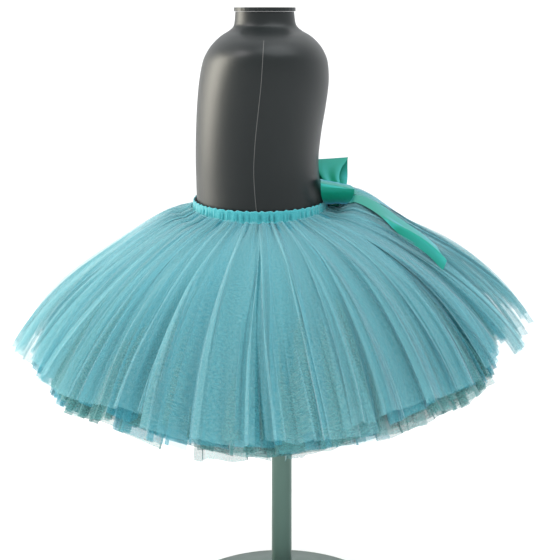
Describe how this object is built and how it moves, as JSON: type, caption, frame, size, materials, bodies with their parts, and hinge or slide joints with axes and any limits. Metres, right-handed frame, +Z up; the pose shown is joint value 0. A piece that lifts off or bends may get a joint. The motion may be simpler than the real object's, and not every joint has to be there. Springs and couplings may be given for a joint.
{
  "type": "tutu skirt on a dress form",
  "caption": "Gathered tulle tutu skirt in fanned layers, with a casing waistband and a satin bow behind, on a limbless child's dress form with a pole and round base.",
  "frame": {"origin": "centre of the base's underside, on the floor under the pole", "axes": "+Z up along the pole, +Y towards the skirt's back and bow, +X towards the wearer's left"},
  "size_m": [0.6116, 0.5796, 0.7123],
  "materials": {
    "tulle": "soft net, matt",
    "satin": "satin ribbon",
    "form_cover": "smooth, soft sheen",
    "steel": "polished"
  },
  "bodies": {
    "root": {"tulle_top_layer": "tulle", "tulle_middle_layer": "tulle", "tulle_under_layer": "tulle", "waistband": "tulle", "bow_knot": "satin", "bow_loop_left": "satin", "bow_loop_right": "satin", "bow_tail_left": "satin", "bow_tail_right": "satin", "dress_form": "form_cover", "neck_cap": "form_cover", "form_flange": "steel", "pole": "steel", "stand_base": "steel"}
  },
  "joints": []
}
